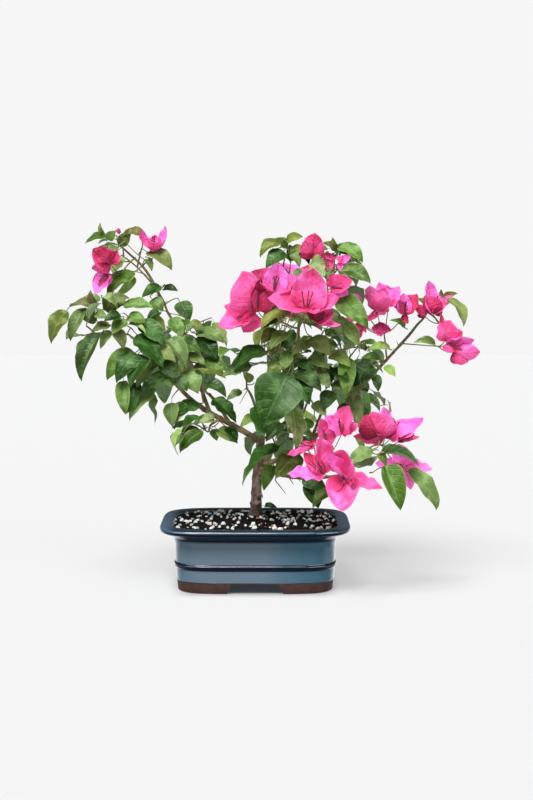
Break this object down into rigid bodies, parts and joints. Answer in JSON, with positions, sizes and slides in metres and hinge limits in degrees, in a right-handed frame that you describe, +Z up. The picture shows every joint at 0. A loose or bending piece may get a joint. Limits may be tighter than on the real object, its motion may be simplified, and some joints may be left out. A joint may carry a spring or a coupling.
{
  "type": "bougainvillea bonsai",
  "caption": "Flowering bonsai shrub with a short trunk, spreading boughs, drooping leaves and papery pink bracts, in a rectangular glazed pot on notched feet.",
  "frame": {"origin": "middle of the whole plant's bounding box, at the pot's underside", "axes": "+Z up, +X to the right along the pot's long side, +Y away from the front that the picture shows"},
  "size_m": [0.4512, 0.244, 0.3783],
  "materials": {
    "glaze": "glossy slate blue glaze over a bare brown foot",
    "soil": "dark moist mix with pale grains",
    "bark": "grey-brown bark",
    "leaf": "satin green leaves on thin twigs",
    "bract": "thin papery pink bracts on thin stalks"
  },
  "bodies": {
    "root": {"back_blossom": "bract", "back_bough": "bark", "back_centre_leaves": "leaf", "back_left": "bark", "back_left_leaves": "leaf", "back_low": "bark", "back_low_leaves": "leaf", "back_right": "bark", "back_right_leaves": "leaf", "centre_blossom": "bract", "centre_bough": "bark", "centre_front_leaves": "leaf", "centre_left": "bark", "centre_left_blossom": "bract", "centre_left_leaves": "leaf", "centre_riser": "bark", "centre_upper_leaves": "leaf", "front_bough": "bark", "left_arm": "bark", "left_arm_end": "bark", "left_bough": "bark", "left_low_leaves": "leaf", "left_middle_leaves": "leaf", "left_riser": "bark", "left_riser_end": "bark", "left_shoulder_leaves": "leaf", "left_spur": "bark", "left_tip_leaves": "leaf", "low_centre_blossom": "bract", "low_centre_leaves": "leaf", "low_right": "bark", "low_right_blossom": "bract", "low_right_leaves": "leaf", "low_right_shoot": "bark", "low_spur": "bark", "low_twig": "bark", "pot": "glaze", "right_arm": "bark", "right_arm_leaves": "leaf", "right_bough": "bark", "right_inner": "bark", "right_inner_blossom": "bract", "right_tip_blossom": "bract", "right_tip_leaves": "leaf", "soil": "soil", "top_blossom": "bract", "top_left_leaves": "leaf", "top_left_twig": "bark", "top_right_leaves": "leaf", "top_right_twig": "bark", "trunk": "bark", "upper_left_blossom": "bract", "upper_left_leaves": "leaf", "upper_tip_blossom": "bract"}
  },
  "joints": []
}
